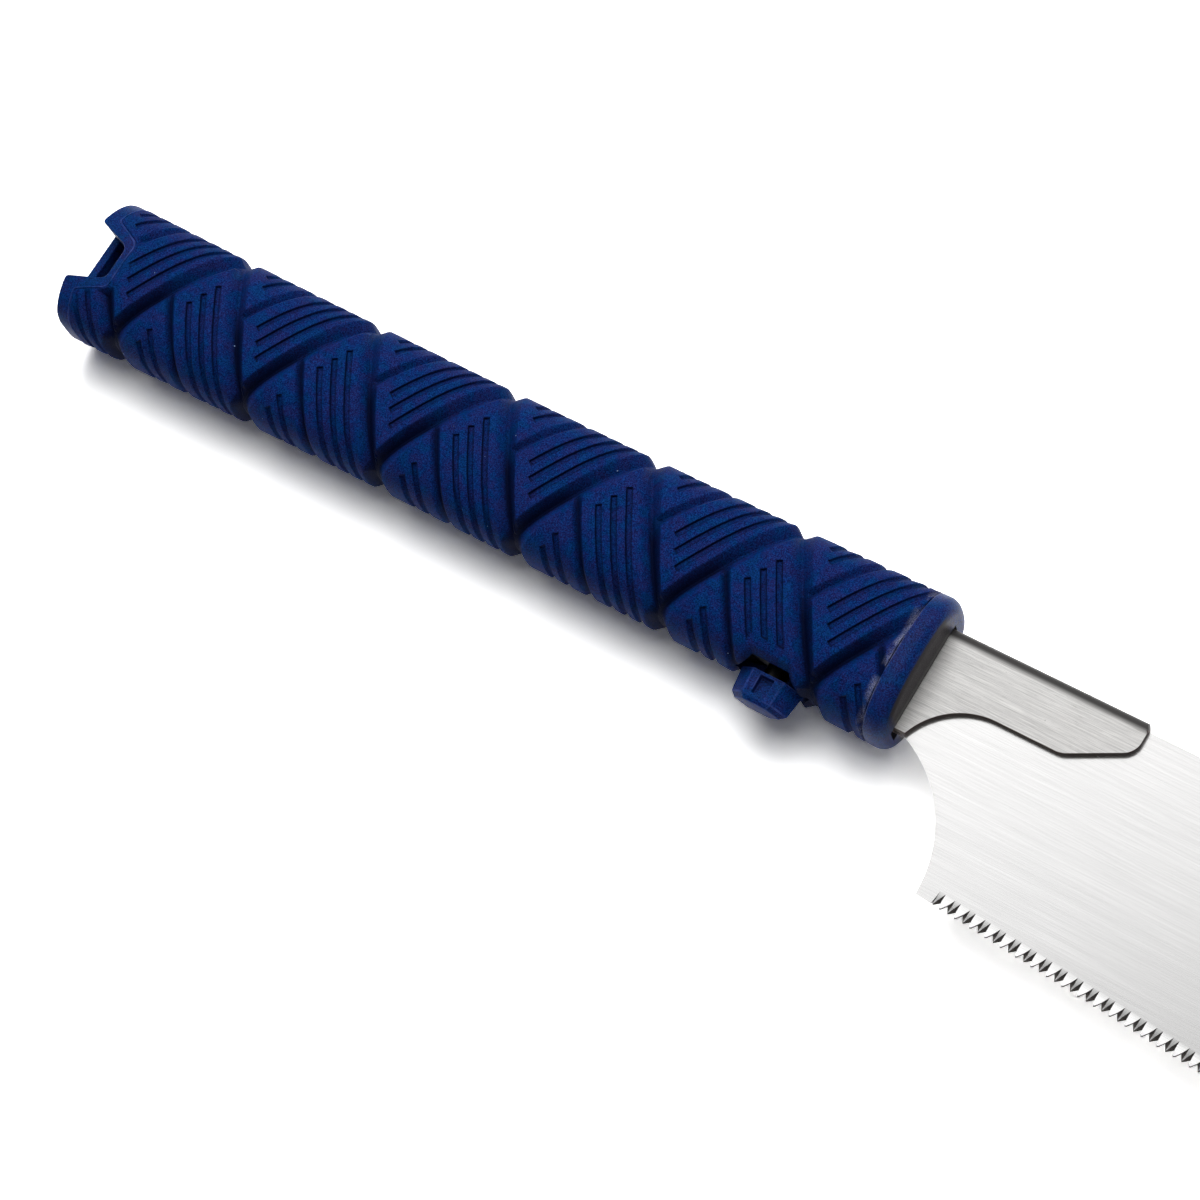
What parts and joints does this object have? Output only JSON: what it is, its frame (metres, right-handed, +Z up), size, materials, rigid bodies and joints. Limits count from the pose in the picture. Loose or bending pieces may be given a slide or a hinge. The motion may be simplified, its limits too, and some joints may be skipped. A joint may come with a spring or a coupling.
{
  "type": "pull saw",
  "caption": "Single-edged Japanese pull saw: thin toothed blade in a folded tang, slid into a soft plaited handle, held by a turning clamp knob, with a fishtail butt and hanging hole",
  "frame": {"origin": "middle of the base of the box round the saw, lying with the blade's plane level", "axes": "+X runs along the saw from the butt to the toe, +Y across it from the teeth to the back, +Z up, square to the blade"},
  "size_m": [0.4196, 0.0702, 0.0237],
  "materials": {
    "blade_steel": "fine lengthwise brushing, satin",
    "tang_steel": "brushed sheet with a dark rolled fold",
    "fastener_steel": "plain turned or pressed steel",
    "grip_elastomer": "matte navy elastomer, moulded relief",
    "collar_plastic": "matte navy, dark front face",
    "cap_plastic": "matte navy",
    "knob_plastic": "satin navy",
    "core_plastic": "plain dark moulding, out of sight"
  },
  "bodies": {
    "handle": {"core_upper": "core_plastic", "core_lower": "core_plastic", "core_screws": "fastener_steel", "grip_sleeve": "grip_elastomer", "front_collar": "collar_plastic", "butt_cap": "cap_plastic", "hook_pin": "fastener_steel", "clamp_nut": "fastener_steel"},
    "blade": {"saw_blade": "blade_steel", "blade_tang": "tang_steel", "tang_rivets": "fastener_steel"},
    "shoe": {"clamp_shoe": "fastener_steel"},
    "knob": {"clamp_knob": "knob_plastic", "clamp_screw": "fastener_steel", "shoe_clip": "fastener_steel"}
  },
  "joints": [
    {"name": "blade_slide", "type": "slide", "parent": "handle", "child": "blade", "axis": [1, 0, 0], "range_m": [0, 0.07]},
    {"name": "shoe_slide", "type": "slide", "parent": "handle", "child": "shoe", "axis": [0, -1, 0], "range_m": [0, 0.0024]},
    {"name": "knob_turn", "type": "hinge", "parent": "shoe", "child": "knob", "pos_m": [-0.02039, 0.00367, 0.01186], "axis": [0, -1, 0], "range_deg": [0, 1080]}
  ],
  "couplings": [
    {"joint": "knob_turn", "follows": "shoe_slide", "rad_per_m": 7853.9}
  ]
}
